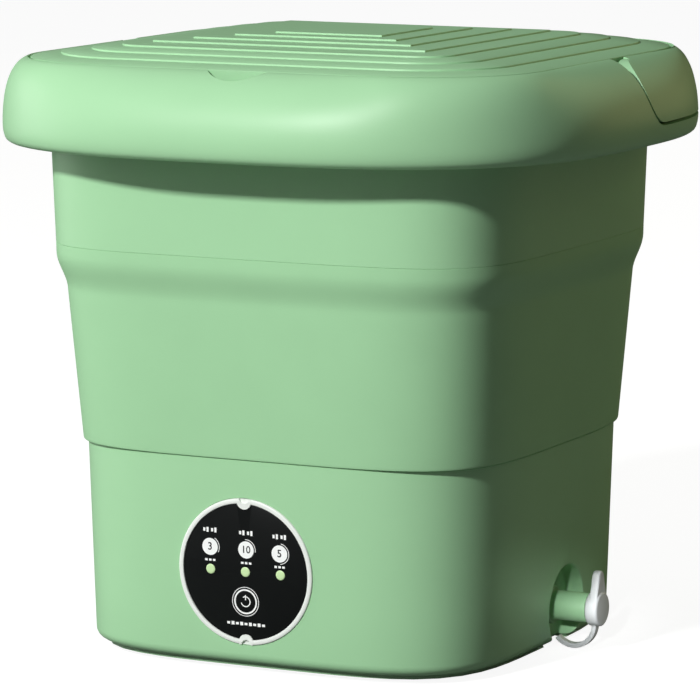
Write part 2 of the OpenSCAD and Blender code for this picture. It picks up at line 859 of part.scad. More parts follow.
module lid_seal() {
    color(grey) frame_prism(
        flat(ring(mouth_half - 0.4, 0, mouth_n)), flat(ring(mouth_half - 2, 0, mouth_n)),
        ledge_z - 2.6, ledge_z - 0.2);
}

base_shell();
bottom_cover();
rubber_feet();
bottom_screws();
tub_basin();
bearing_housing();
housing_screws();
lower_bearing();
upper_bearing();
shaft_seal();
drive_shaft();
driven_pulley();
pulley_nut();
pulsator();
pulsator_cap();
pulsator_screw();
motor_can();
motor_armature();
motor_pulley();
motor_bracket();
motor_screws();
drive_belt();
drain_elbow();
drain_spout();
drain_cap();
cap_strap();
panel_bezel();
panel_overlay();
panel_carrier();
power_button();
tact_switch();
led_lights();
control_board();
board_screws();
power_inlet();
wire_harness();
soft_wall();
upper_ring();
rim_collar();
rim_screws();
carry_handle();
handle_pins();
lid_plate();
lid_seal();
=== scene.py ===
import json
import math
import bpy
from mathutils import Matrix, Vector


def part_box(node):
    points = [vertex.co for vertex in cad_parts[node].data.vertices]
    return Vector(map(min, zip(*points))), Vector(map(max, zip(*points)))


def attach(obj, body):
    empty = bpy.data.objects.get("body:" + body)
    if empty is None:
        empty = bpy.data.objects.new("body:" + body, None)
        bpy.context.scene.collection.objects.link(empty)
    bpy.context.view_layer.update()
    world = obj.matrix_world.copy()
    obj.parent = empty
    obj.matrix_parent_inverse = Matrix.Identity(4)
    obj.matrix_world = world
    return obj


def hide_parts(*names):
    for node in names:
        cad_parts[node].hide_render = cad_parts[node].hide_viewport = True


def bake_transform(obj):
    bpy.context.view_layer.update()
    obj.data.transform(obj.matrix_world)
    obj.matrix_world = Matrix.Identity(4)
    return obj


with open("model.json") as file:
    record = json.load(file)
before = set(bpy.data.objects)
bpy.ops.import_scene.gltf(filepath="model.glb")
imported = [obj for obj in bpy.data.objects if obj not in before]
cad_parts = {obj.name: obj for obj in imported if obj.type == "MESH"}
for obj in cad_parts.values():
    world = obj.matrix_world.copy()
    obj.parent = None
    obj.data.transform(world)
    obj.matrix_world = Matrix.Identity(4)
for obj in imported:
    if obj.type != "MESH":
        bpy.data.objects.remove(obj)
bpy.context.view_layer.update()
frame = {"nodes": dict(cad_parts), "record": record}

mm = 0.001
turnSteps = 192
fullTurn = math.radians(360)
mergeWithin = 2e-6


# ---- small tools for the bench

def deselectAll():
    if bpy.context.object and bpy.context.object.mode != "OBJECT":
        bpy.ops.object.mode_set(mode="OBJECT")
    bpy.ops.object.select_all(action="DESELECT")


def activate(piece):
    deselectAll()
    piece.select_set(True)
    bpy.context.view_layer.objects.active = piece


def named(piece, name):
    piece.name = name
    piece.data.name = name
    return piece


def settle(piece):  # puts the place into the mesh
    activate(piece)
    bpy.ops.object.transform_apply(location=True, rotation=True, scale=True)


def remove(piece):
    bpy.data.objects.remove(piece, do_unlink=True)


def turnSection(name, section, steps=None):
    # a closed outline of (radius, height) in mm, spun round the Z axis
    for i, (point, after) in enumerate(zip(section, section[1:] + section[:1])):
        if point[0] == 0 and after[0] == 0:  # a stretch along the axis comes last and is left out
            section = section[i + 1:] + section[:i + 1]
            break
    deselectAll()
    bpy.ops.mesh.primitive_plane_add(size=mm, location=(0, 0, 0))
    piece = named(bpy.context.object, name)
    bpy.ops.object.mode_set(mode="EDIT")
    bpy.ops.mesh.select_all(action="SELECT")
    bpy.ops.mesh.merge(type="CENTER")
    start = (section[0][0] * mm, 0, section[0][1] * mm)
    bpy.ops.transform.translate(value=start)
    for (r0, z0), (r1, z1) in zip(section, section[1:] + section[:1]):
        if r0 or r1:
            step = ((r1 - r0) * mm, 0, (z1 - z0) * mm)
            bpy.ops.mesh.extrude_region_move(TRANSFORM_OT_translate={"value": step})
    bpy.ops.mesh.select_all(action="SELECT")
    bpy.ops.mesh.remove_doubles(threshold=mergeWithin)
    bpy.ops.mesh.spin(steps=steps or turnSteps, angle=fullTurn, center=(0, 0, 0), axis=(0, 0, 1))
    bpy.ops.mesh.select_all(action="SELECT")
    bpy.ops.mesh.remove_doubles(threshold=mergeWithin)
    bpy.ops.mesh.normals_make_consistent(inside=False)
    bpy.ops.object.mode_set(mode="OBJECT")
    return piece


def makeNormals(piece):
    activate(piece)
    bpy.ops.object.mode_set(mode="EDIT")
    bpy.ops.mesh.select_all(action="SELECT")
    bpy.ops.mesh.remove_doubles(threshold=mergeWithin)
    bpy.ops.mesh.normals_make_consistent(inside=False)
    bpy.ops.object.mode_set(mode="OBJECT")


def drum(name, radius, low, high, place=(0, 0), sides=96):
    deselectAll()
    bpy.ops.mesh.primitive_cylinder_add(
        vertices=sides, radius=radius * mm, depth=(high - low) * mm,
        location=(place[0] * mm, place[1] * mm, (low + high) / 2 * mm))
    piece = named(bpy.context.object, name)
    settle(piece)
    return piece


def block(name, lowCorner, highCorner):
    deselectAll()
    bpy.ops.mesh.primitive_cube_add(size=1)
    piece = named(bpy.context.object, name)
    piece.scale = [(b - a) * mm for a, b in zip(lowCorner, highCorner)]
    piece.location = [(a + b) / 2 * mm for a, b in zip(lowCorner, highCorner)]
    settle(piece)
    return piece


def outlinePlate(name, outline, low, high):
    # a flat outline of (x, y) in mm, extruded from low to high along Z
    deselectAll()
    bpy.ops.mesh.primitive_plane_add(size=mm, location=(0, 0, 0))
    piece = named(bpy.context.object, name)
    bpy.ops.object.mode_set(mode="EDIT")
    bpy.ops.mesh.select_all(action="SELECT")
    bpy.ops.mesh.merge(type="CENTER")
    bpy.ops.transform.translate(value=(outline[0][0] * mm, outline[0][1] * mm, low * mm))
    for (x0, y0), (x1, y1) in zip(outline, outline[1:] + outline[:1]):
        bpy.ops.mesh.extrude_region_move(
            TRANSFORM_OT_translate={"value": ((x1 - x0) * mm, (y1 - y0) * mm, 0)})
    bpy.ops.mesh.select_all(action="SELECT")
    bpy.ops.mesh.remove_doubles(threshold=mergeWithin)
    bpy.ops.mesh.edge_face_add()
    bpy.ops.mesh.extrude_region_move(
        TRANSFORM_OT_translate={"value": (0, 0, (high - low) * mm)})
    bpy.ops.mesh.select_all(action="SELECT")
    bpy.ops.mesh.normals_make_consistent(inside=False)
    bpy.ops.object.mode_set(mode="OBJECT")
    return piece


def combine(piece, tool, operation="DIFFERENCE", keepTool=False):
    activate(piece)
    modifier = piece.modifiers.new("combine", "BOOLEAN")
    modifier.operation = operation
    modifier.solver = "EXACT"
    modifier.object = tool
    bpy.ops.object.modifier_apply(modifier=modifier.name)
    if not keepTool:
        remove(tool)
    return piece


def joined(name, pieces):
    deselectAll()
    for piece in pieces:
        piece.select_set(True)
    bpy.context.view_layer.objects.active = pieces[0]
    bpy.ops.object.join()
    return named(bpy.context.object, name)


def softenEdges(piece, width, segments=2, angle=40):
    activate(piece)
    modifier = piece.modifiers.new("soften", "BEVEL")
    modifier.width = width * mm
    modifier.segments = segments
    modifier.limit_method = "ANGLE"
    modifier.angle_limit = math.radians(angle)
    modifier.harden_normals = False
    bpy.ops.object.modifier_apply(modifier=modifier.name)


def place(piece, matrix):
    piece.matrix_world = matrix @ piece.matrix_world
    settle(piece)


def rodMatrix(x, y, z):  # turns the Z axis to +X and moves it to x, y, z
    return Matrix.Translation((x * mm, y * mm, z * mm)) @ Matrix.Rotation(math.radians(90), 4, "Y")


def finishPiece(piece, body, material, nodes=(), smooth=35):
    settle(piece)
    piece.data.materials.clear()
    piece.data.materials.append(material)
    bpy.ops.object.shade_smooth_by_angle(angle=math.radians(smooth))
    if body:  # a piece that blends between two bodies has none
        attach(piece, body)
    if nodes:
        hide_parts(*nodes)


# ---- plan outlines, the same as the frame's

def squircleR(half, n, t):
    return half / (abs(math.cos(t)) ** n + abs(math.sin(t)) ** n) ** (1 / n)


def roundedR(half, corner, t):
    u, v = abs(math.cos(t)), abs(math.sin(t))
    c = half - corner
    if half * min(u, v) / max(u, v) <= c:
        return half / max(u, v)
    return c * (u + v) + math.sqrt(max(corner * corner - c * c * (1 - 2 * u * v), 0))


def squareOff(piece, radiusAt):
    # moves each point of a turned piece outwards to the real plan outline
    for vertex in piece.data.vertices:
        half = math.hypot(vertex.co.x, vertex.co.y) / mm
        if half < 0.05:
            continue
        t = math.atan2(vertex.co.y, vertex.co.x)
        factor = radiusAt(half, vertex.co.z / mm, t) / half
        vertex.co.x *= factor
        vertex.co.y *= factor
    piece.data.update()


# ---- finishes

def finish(name, color, roughness=0.4, metallic=0.0, grain=0.0, grainScale=900, mottle=0.0,
           glow=0.0, specular=0.5, stretch=(1, 1, 1)):
    # grain is a fine bump and mottle a faint change of colour, both fixed to the object
    material = bpy.data.materials.new(name)
    material.use_nodes = True
    nodes, links = material.node_tree.nodes, material.node_tree.links
    shader = nodes["Principled BSDF"]
    shader.inputs["Base Color"].default_value = (*color, 1)
    shader.inputs["Roughness"].default_value = roughness
    shader.inputs["Metallic"].default_value = metallic
    shader.inputs["Specular IOR Level"].default_value = specular
    if glow:
        shader.inputs["Emission Color"].default_value = (*color, 1)
        shader.inputs["Emission Strength"].default_value = glow
    where = nodes.new("ShaderNodeTexCoord")
    mapping = nodes.new("ShaderNodeMapping")
    mapping.inputs["Scale"].default_value = stretch
    links.new(where.outputs["Object"], mapping.inputs["Vector"])
    if grain:
        noise = nodes.new("ShaderNodeTexNoise")
        noise.inputs["Scale"].default_value = grainScale
        noise.inputs["Detail"].default_value = 3
        bump = nodes.new("ShaderNodeBump")
        bump.inputs["Strength"].default_value = grain
        bump.inputs["Distance"].default_value = 0.0002
        links.new(mapping.outputs["Vector"], noise.inputs["Vector"])
        links.new(noise.outputs["Fac"], bump.inputs["Height"])
        links.new(bump.outputs["Normal"], shader.inputs["Normal"])
    if mottle:
        patches = nodes.new("ShaderNodeTexNoise")
        patches.inputs["Scale"].default_value = 35
        patches.inputs["Detail"].default_value = 4
        tint = nodes.new("ShaderNodeMix")
        tint.data_type = "RGBA"
        tint.inputs[6].default_value = (*[c * (1 - mottle) for c in color], 1)
        tint.inputs[7].default_value = (*[min(c * (1 + mottle), 1) for c in color], 1)
        links.new(mapping.outputs["Vector"], patches.inputs["Vector"])
        links.new(patches.outputs["Fac"], tint.inputs[0])
        links.new(tint.outputs[2], shader.inputs["Base Color"])
    return material


sage = (0.37, 0.66, 0.375)
finishes = {
    "shell_green": finish("sagePlastic", sage, 0.42, specular=0.3, grain=0.12, mottle=0.02),
    "soft_green": finish("sageRubber", (0.355, 0.64, 0.36), 0.52, specular=0.25, grain=0.2, grainScale=1400,
                         mottle=0.03),
    # the bottom cover is the shell's own green painted darker: painted shade for the shadow under the base
    "cover_green": finish("coverPlasticPaintedShade", (0.24, 0.42, 0.24), 0.5, grain=0.2, mottle=0.03),
    "panel_black": finish("panelGloss", (0.004, 0.005, 0.005), 0.3, specular=0.25, grain=0.02),
    "pale_ring": finish("paleRing", (0.86, 0.9, 0.85), 0.3, grain=0.05, mottle=0.01),
    "light_grey": finish("greyPlastic", (0.62, 0.64, 0.65), 0.42, grain=0.15, mottle=0.03),
    "silicone_grey": finish("greySilicone", (0.66, 0.69, 0.7), 0.5, grain=0.12, mottle=0.02),
    "steel": finish("brushedSteel", (0.62, 0.63, 0.65), 0.32, metallic=1, grain=0.3, stretch=(1, 1, 9)),
    "black_rubber": finish("blackRubber", (0.03, 0.03, 0.03), 0.65, grain=0.4, mottle=0.1),
    "black_plastic": finish("blackPlastic", (0.04, 0.04, 0.045), 0.4, grain=0.2, mottle=0.05),
    "led_lens": finish("lampLens", (0.56, 0.76, 0.4), 0.35, glow=0.12, grain=0.02),
    "board_green": finish("boardLacquer", (0.02, 0.16, 0.07), 0.3, grain=0.25, grainScale=400, mottle=0.2),
    "copper": finish("copperWinding", (0.72, 0.33, 0.16), 0.35, metallic=1, grain=0.6, stretch=(1, 1, 14)),
    "lead_red": finish("redLead", (0.5, 0.04, 0.03), 0.4, grain=0.1, mottle=0.05),
}
# the white print is real, but its glow is painted light that makes it brighter than the lamps do
printWhitePaintedGlow = finish("panelPrintPaintedGlow", (0.86, 0.88, 0.86), 0.5, glow=0.12, grain=0.02)

nodeSlots = {row["node"]: row["material_slot"] for row in frame["record"]["subparts"]}
for nodeName, cadNode in frame["nodes"].items():
    cadNode.data.materials.clear()
    cadNode.data.materials.append(finishes[nodeSlots[nodeName]])
print("finishes ready")


# ---- the base

shellGreen = finishes["shell_green"]
baseLow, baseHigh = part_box("base_shell")
recordJoints = {joint["name"]: joint for joint in frame["record"]["behaviour"]["joints"]}
panelAxis = Vector(recordJoints["power_press"]["axis"])
overlayLow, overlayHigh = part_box("panel_overlay")
panelMiddle = (overlayLow + overlayHigh) / 2 - panelAxis * 1.05 * mm
lean = math.asin(panelAxis.z)
panelFrame = Matrix.Translation(panelMiddle) @ Matrix.Rotation(math.radians(90) + lean, 4, "X")
spoutLow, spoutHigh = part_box("drain_spout")
drainY = (spoutLow.y + spoutHigh.y) / 2 / mm
drainZ = (spoutLow.z + spoutHigh.z) / 2 / mm

base = {
    "squareness": 4.2,
    "foot": 105.7,
    "top": baseHigh.x / mm,
    "low": baseLow.z / mm,
    "high": baseHigh.z / mm - 5.3,
    "neck": 106.0,
    "wall": 2.5,
    "panelSeat": 34.5,
    "panelHole": 32.0,
    "recess": 19.5,
    "recessFloor": 97.0,
    "recessLip": 1.1,
    "recessCove": 1.2,
}


def baseOutline(half, z, t):
    return squircleR(half, base["squareness"], t)


def baseOuter():
    foot, low = base["foot"], base["low"]
    corner = [(foot - 5 + 5 * math.sin(a), low + 5 - 5 * math.cos(a))
              for a in [math.radians(d) for d in range(0, 91, 15)]]
    rise = [(foot + (base["top"] - foot) * f, low + 5 + (base["high"] - low - 5) * f)
            for f in (0.25, 0.5, 0.75)]
    return corner + rise + [(base["top"], base["high"] - 0.5), (base["top"] - 0.5, base["high"])]


def makeBaseShell():
    neck, wall, high = base["neck"], base["wall"], base["high"]
    inner = [(neck, high), (neck, high + 4.9), (neck - 0.4, high + 5.3), (neck - wall, high + 5.3),
             (neck - wall, high - 5), (base["top"] - wall, high - 7.5),
             (base["foot"] - wall, base["low"] + 5.5), (base["foot"] - 5, base["low"] + wall)]
    shell = turnSection("baseShell", baseOuter() + inner)
    squareOff(shell, baseOutline)
    solid = turnSection("baseSolid", [(0, base["low"])] + baseOuter() + [(0, base["high"])])
    squareOff(solid, baseOutline)
    cup = drum("drainCup", base["recess"] + wall, 94.5, 120)
    place(cup, rodMatrix(0, drainY, drainZ))
    combine(cup, solid, "INTERSECT")
    combine(shell, cup, "UNION")
    face = base["foot"] + (drainZ - base["low"] - 5) * math.tan(lean)
    lip, cove, floorAt = base["recessLip"], base["recessCove"], base["recessFloor"] - face
    mouth = [(0, floorAt)]
    mouth += [(base["recess"] - cove + cove * math.sin(a), floorAt + cove - cove * math.cos(a))
              for a in [math.radians(d) for d in range(0, 91, 18)]]
    mouth += [(base["recess"] + lip - lip * math.cos(a), -lip + lip * math.sin(a))
              for a in [math.radians(d) for d in range(0, 91, 15)]]
    mouth += [(base["recess"] + lip + 3, 0.02), (base["recess"] + lip + 3, 20), (0, 20)]
    recessTool = turnSection("recessTool", mouth, 96)
    place(recessTool, Matrix.Translation((face * mm, drainY * mm, drainZ * mm))
          @ Matrix.Rotation(math.radians(90) + lean, 4, "Y"))
    combine(shell, recessTool)
    for radius, low, high in ((base["panelSeat"], -1, 6), (base["panelHole"], -8, 4)):
        tool = drum("panelTool", radius, low, high, sides=160)
        place(tool, panelFrame)
        combine(shell, tool)
    hole = drum("spoutHole", 7.0, 90, 100)
    place(hole, rodMatrix(0, drainY, drainZ))
    combine(shell, hole)
    inletLow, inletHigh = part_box("power_inlet")
    hole = drum("inletHole", 5.5, 100, 120)
    place(hole, Matrix.Translation((0, 0, (inletLow.z + inletHigh.z) / 2))
          @ Matrix.Rotation(math.radians(-90), 4, "X"))
    combine(shell, hole)
    finishPiece(shell, "base", shellGreen, ["base_shell"], smooth=30)
    return shell


makeBaseShell()
print("base made")


# ---- the soft wall and the ring above it

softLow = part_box("soft_wall")[0]
ringLow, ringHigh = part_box("upper_ring")
rimLow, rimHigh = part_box("rim_collar")

band = {
    "foot": 109.0,
    "waist": 113.3,
    "stepLow": 170.5,
    "stepHigh": 188.5,
    "ring": 117.3,
    "ringTop": 118.0,
    "tuck": 114.3,
    "footSquareness": 4.5,
    "mouthSquareness": 5.5,
    "seam": ringLow.z / mm,
    "floor": 248.5,
}


def wallSquareness(z):
    return band["footSquareness"] + (band["mouthSquareness"] - band["footSquareness"]) * (z - 99.7) / (
        band["floor"] - 99.7)


def wallOutline(half, z, t):
    return squircleR(half, wallSquareness(z), t)


def makeSoftWall():
    low = softLow.z / mm
    lip = band["seam"] - 0.06
    outer = [(band["foot"], low), (band["foot"] + 0.15, low + 0.5)]
    straight = [(band["foot"] + 0.2 + (band["waist"] - band["foot"] - 0.2) * f,
                 low + 1 + (band["stepLow"] - low - 1) * f) for f in [i / 12 for i in range(12)]]
    step = [(band["waist"] + (band["ring"] - band["waist"]) * (1 - math.cos(math.pi * f)) / 2,
             band["stepLow"] + f * (band["stepHigh"] - band["stepLow"]))
            for f in [i / 12 for i in range(13)]]
    outer += straight + step + [(band["ring"], lip - 0.12), (band["ring"] - 0.12, lip)]
    tuck = [(band["tuck"], lip), (band["tuck"], lip + 10),
            (band["tuck"] - 2, lip + 10), (band["tuck"] - 2, lip - 2)]
    inner = [(half - 2, z - 0.3) for half, z in reversed(straight[1:] + step)]
    foot = [(106.9, low + 6.8), (106.2, low + 5.3), (106.2, low)]
    wall = turnSection("softWall", outer + tuck + inner + foot)
    squareOff(wall, wallOutline)
    finishPiece(wall, None, finishes["soft_green"], ["soft_wall"])
    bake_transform(wall)
    return wall


def makeUpperRing():
    low, high = band["seam"], ringHigh.z / mm
    flangeLow, flangeHigh = band["floor"] - 6, band["floor"] - 3
    ring, top, tuck = band["ring"], band["ringTop"], band["tuck"] + 0.1
    section = [(ring - 0.12, low), (ring, low + 0.12)]
    section += [(ring + (top - ring) * f, low + (flangeLow - low) * f) for f in (0.25, 0.5, 0.75, 1)]
    section += [(130, flangeLow), (130, flangeHigh), (top, flangeHigh), (top, high), (top - 2.5, high),
                (top - 2.9, low + 16), (tuck - 2.2, low + 13), (tuck - 2.2, low + 10.5), (tuck, low + 10.5),
                (tuck, low)]
    piece = turnSection("upperRing", section)
    squareOff(piece, wallOutline)
    finishPiece(piece, "upper", shellGreen, ["upper_ring"])
    return piece


makeSoftWall()
makeUpperRing()
print("soft wall and ring made")


# ---- the rim and the carry handle

rim = {
    "half": rimHigh.x / mm,
    "low": rimLow.z / mm,
    "wide": 248.0,
    "top": rimHigh.z / mm,
    "squareness": 3.0,
    "shoulder": 1.35,
    "lip": 127.85,
    "corner": 58.0,
    "skin": 2.6,
    "shelf": 127.45,
    "ledge": 271.3,
    "mouth": 113.8,
    "notchX": 5.0,
    "notchR": 18.4,
    "notchDeep": 8.5,
}
handle = {
    "pivotY": 21.0,
    "pivotZ": 264.0,
    "nose": 14.2,
    "space": 15.7,
    "inner": 128.35,
}


def mixedR(half, n, mix, t):
    return (1 - mix) * squircleR(half, n, t) + mix * roundedR(half, rim["corner"], t)


def turnMixed(name, section):
    # a section of (half, height, mix), where mix 0 is the rim's outline and 1 is the lid's
    piece = turnSection(name, [point[:2] for point in section])
    known = {}

    def outline(half, z, t):
        key = (round(half, 2), round(z, 2))
        if key not in known:
            known[key] = min(section, key=lambda p: (p[0] - half) ** 2 + (p[1] - z) ** 2)[2]
        return mixedR(half, rim["squareness"], known[key], t)

    squareOff(piece, outline)
    return piece


def lidOutline(half, z, t):
    return roundedR(half, rim["corner"], t)


def rimFace(stepCount=28):
    low, wide = rim["low"], rim["wide"]
    lower = [(4.2, 0), (3.3, 0.25), (2.3, 0.8), (1.4, 1.6), (0.8, 2.8), (0.3, 4.8), (0.08, 6.8)]
    face = [(rim["half"] - inset, low + up, 0) for inset, up in lower]
    for i in range(stepCount + 1):
        a = math.radians(90 * i / stepCount)
        c = max(math.cos(a), 0) ** rim["shoulder"]
        half = rim["lip"] + (rim["half"] - rim["lip"]) * c
        face.append((half, wide + (rim["top"] - wide) * math.sin(a), 1 - c))
    return face


def inwardPoint(point, d):
    half, z, mix = point
    return half - d, z - 0.8 * d * mix, mix


def rimSolid(name, d):
    face = [inwardPoint(point, d) for point in rimFace(20)]
    return turnMixed(name, [(0, face[0][1], 0)] + face + [(0, face[-1][1], 1)])


def sideOutline(r, upright):
    y, z = handle["pivotY"], handle["pivotZ"]
    last = 180 if upright else 90
    arc = [(y + r * math.cos(math.radians(a)), z + r * math.sin(math.radians(a)))
           for a in range(270, last - 1, -3)]
    return [(200, z - r)] + arc + [(y - r if upright else y, 320), (200, 320)]


def sidePlate(name, outline):  # an outline in Y and Z, right across the object
    plate = outlinePlate(name, outline, -200, 200)
    place(plate, Matrix(((0, 0, 1, 0), (1, 0, 0, 0), (0, 1, 0, 0), (0, 0, 0, 1))))
    return plate


def lidPrism(name, half, low, high):
    prism = turnSection(name, [(0, low), (half, low), (half, high), (0, high)])
    squareOff(prism, lidOutline)
    return prism


def makeHandleSpace():
    space = sidePlate("handleSpace", sideOutline(handle["space"], True))
    combine(space, lidPrism("lidTool", rim["shelf"] - 0.05, 200, 330))
    return space


def floorOutline(half, z, t):  # the ring's outline inside, the rim's outside
    return squircleR(half, band["mouthSquareness"] if half < 125 else rim["squareness"], t)


def shelfOutline(half, z, t):  # the mouth's outline inside, the lid's outside
    return squircleR(half, band["mouthSquareness"], t) if half < 120 else lidOutline(half, z, t)


def makeRimCollar():
    lip, top, skin, ledge = rim["lip"], rim["top"], rim["skin"], rim["ledge"]
    face = rimFace()
    section = face[:-1] + [(lip + 0.4, top, 1), (lip + 0.1, top - 0.1, 1), (lip, top - 0.4, 1),
                           (lip, ledge - 3, 1), (lip + 3, ledge - 3, 1)]
    inner = [inwardPoint(point, skin) for point in reversed(face[:-1])]
    inner = [point for point in inner if point[0] > lip + 3.1]
    section += [(lip + 3, inner[0][1] + 0.2, 1)] + inner
    collar = turnMixed("rimCollar", section)
    floorZ = band["floor"]
    inside, outside = band["ringTop"] + 0.3, rim["half"] - 2.2
    floorRing = turnSection("rimFloor", [(inside, floorZ - 3), (outside, floorZ - 3),
                                         (outside, floorZ), (inside, floorZ)])
    squareOff(floorRing, floorOutline)
    shelfWall = turnSection("shelfWall", [(rim["shelf"] - 3, floorZ - 1), (rim["shelf"], floorZ - 1),
                                          (rim["shelf"], ledge), (rim["shelf"] - 3, ledge)])
    squareOff(shelfWall, lidOutline)
    shelf = turnSection("shelf", [(rim["mouth"], ledge - 2.7), (lip + 1, ledge - 2.7), (lip + 1, ledge),
                                  (rim["mouth"], ledge)])
    squareOff(shelf, shelfOutline)
    upperLip = lidPrism("lidTool", lip, ledge - 1, 320)
    webs = block("webs", (-200, handle["pivotY"] - handle["space"] - skin, floorZ - 1),
                 (200, handle["pivotY"], floorZ + 39))
    combine(webs, lidPrism("lidTool", rim["shelf"] - 1.5, 200, 320))
    combine(webs, upperLip)
    combine(webs, rimSolid("rimInside", 0.4), "INTERSECT")
    space = makeHandleSpace()
    combine(collar, space, keepTool=True)
    combine(webs, space)
    notch = drum("notchTool", rim["notchR"], ledge, ledge + 20,
                 (rim["notchX"], rim["notchR"] - rim["notchDeep"] - lip), 128)
    combine(collar, notch)
    collar = joined("rimCollar", [collar, webs, floorRing, shelfWall, shelf])
    finishPiece(collar, "upper", shellGreen, ["rim_collar"], smooth=28)
    return collar


def makeCarryHandle():
    y, z, nose, skin = handle["pivotY"], handle["pivotZ"], handle["nose"], rim["skin"]
    face = [point for point in rimFace() if point[1] >= rim["wide"] - 0.01]
    inner = handle["inner"]
    section = [point for point in face[:-1] if point[0] > inner + 0.5]
    section += [(inner + 0.4, rim["top"] - 0.02, 1), (inner, rim["top"] - 0.4, 1), (inner, rim["wide"], 1),
                (inner + skin, rim["wide"], 1), (inner + skin, rim["top"] - 3.2, 1)]
    section += [point for point in [inwardPoint(point, skin) for point in reversed(face)]
                if point[0] > inner + skin + 0.1]
    shell = turnMixed("carryHandle", section)
    combine(shell, sidePlate("handleSide", sideOutline(nose, False)), "INTERSECT")
    arc = [(y + (nose - 0.3) * math.cos(math.radians(a)), z + (nose - 0.3) * math.sin(math.radians(a)))
           for a in range(270, 89, -4)]
    back = [(y + (nose - skin) * math.cos(math.radians(a)), z + (nose - skin) * math.sin(math.radians(a)))
            for a in range(90, 271, 4)]
    ends = sidePlate("handleEnds", arc + back)
    boss = drum("handleBoss", 7.5, -145, 145, sides=64)
    place(boss, rodMatrix(0, y, z))
    combine(ends, boss, "UNION")
    combine(ends, rimSolid("rimInside", 0.4), "INTERSECT")
    combine(ends, lidPrism("lidTool", inner + 0.2, 200, 320))
    bore = drum("pinBore", 3.05, -142, 142, sides=48)
    place(bore, rodMatrix(0, y, z))
    combine(shell, bore, keepTool=True)
    combine(ends, bore)
    shell = joined("carryHandle", [shell, ends])
    finishPiece(shell, "handle", shellGreen, ["carry_handle"], smooth=28)
    return shell


makeRimCollar()
makeCarryHandle()
print("rim and handle made")


# ---- the stepped lid

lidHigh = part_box("lid_plate")[1]
lid = {
    "half": lidHigh.x / mm,
    "corner": 58.0,
    "steps": 7,
    "stepWide": 14.2,
    "stepHigh": 1.4,
    "levels": (0, 2.2, 4.1, 5.8, 7.2, 8.3, 9.2, 9.8),
    "lineHigh": 0.8,
    "wall": 2.5,
    "edgeRound": 0.25,
    "top": rim["top"],
    "low": rim["ledge"] + 0.3,
}


def stepOutline(half, z, t):
    return roundedR(half, min(max(lid["corner"] - (lid["half"] - half), 0.2), half - 0.01), t)


def makeLid():
    half, wide, rise, edge = lid["half"], lid["stepWide"], lid["stepHigh"], lid["edgeRound"]
    section = [(half - 0.3, lid["low"]), (half, lid["low"] + 0.3)]
    for k, up in enumerate(lid["levels"]):
        outer, z = half - k * wide, lid["top"] + up
        section += [(outer, z - edge), (outer - 0.1, z - 0.1), (outer - edge, z)]
        if k < lid["steps"]:  # each tread slopes up to the foot of the next small step
            foot = lid["top"] + lid["levels"][k + 1] - lid["lineHigh"]
            section += [(outer - wide + 0.1, foot)]
    section.append((0, lid["top"] + lid["steps"] * rise))
    section.append((0, lid["top"] + lid["steps"] * rise - lid["wall"]))
    for k in range(lid["steps"], 0, -1):
        z = lid["top"] + k * rise - lid["wall"]
        section += [(half - k * wide - 2, z), (half - k * wide - 2, z - rise)]
    section += [(half - lid["wall"], lid["top"] - lid["wall"]), (half - lid["wall"], lid["low"])]
    plate = turnSection("lidPlate", section)
    squareOff(plate, stepOutline)
    skirtLow, skirtHigh, skirtIn, skirtOut = lid["low"] - 7, lid["top"] - 2, 109.3, 111.8
    skirt = turnSection("lidSkirt", [(skirtIn, skirtLow), (skirtOut, skirtLow),
                                     (skirtOut, skirtHigh), (skirtIn, skirtHigh)])
    squareOff(skirt, lambda half, z, t: squircleR(half, band["mouthSquareness"], t))
    plate = joined("lidPlate", [plate, skirt])
    finishPiece(plate, "lid", shellGreen, ["lid_plate"], smooth=30)
    return plate


makeLid()
print("lid made")


# ---- the control panel, worked flat and then stood on the front

panel = {
    "ring": 34.3,
    "disc": 31.9,
    "bump": 3.7,
    "bumpIn": 1.3,
    "notch": 2.4,
    "face": 0.3,
    "lampX": 18.0,
    "lampR": 2.3,
    "keyR": 7.1,
    "keyY": -13.9,
    "printHigh": 0.03,
    "sides": 192,
}


def makeBezel():
    outer, inner = panel["ring"], panel["disc"] + 0.1
    ring = turnSection("panelBezel", [(inner, -1), (outer, -1), (outer, 0.2), (outer - 0.15, 0.5),
                                      (outer - 0.5, 0.7), (inner + 0.4, 0.7), (inner + 0.1, 0.6),
                                      (inner, 0.35)], panel["sides"])
    for side in (-1, 1):
        bump = drum("bump", panel["bump"], -1, 0.68, (0, side * (outer - panel["bumpIn"])), 64)
        combine(bump, drum("disc", outer - 0.02, -2, 3, sides=panel["sides"]), "INTERSECT")
        combine(ring, bump, "UNION")
        combine(ring, drum("notch", panel["notch"], -0.5, 3, (0, side * outer), 48))
    softenEdges(ring, 0.12, 2, 50)
    place(ring, panelFrame)
    finishPiece(ring, "base", finishes["pale_ring"], ["panel_bezel"])


def makeOverlay():
    radius, face = panel["disc"], panel["face"]
    disc = turnSection("panelOverlay", [(0, -2.4), (radius, -2.4), (radius, face - 0.3),
                                        (radius - 0.1, face - 0.1), (radius - 0.3, face), (0, face)],
                       panel["sides"])
    for side in (-1, 1):
        middle = (0, side * (panel["ring"] - panel["bumpIn"]))
        combine(disc, drum("bump", panel["bump"] + 0.1, -1.2, 7, middle, 64))
    for x in (-panel["lampX"], 0, panel["lampX"]):
        combine(disc, drum("lampHole", panel["lampR"] + 0.1, -4, 2, (x, 0), 48))
    combine(disc, drum("keyHole", panel["keyR"] + 0.2, -4, 2, (0, panel["keyY"]), 96))
    place(disc, panelFrame)
    finishPiece(disc, "base", finishes["panel_black"], ["panel_overlay"])


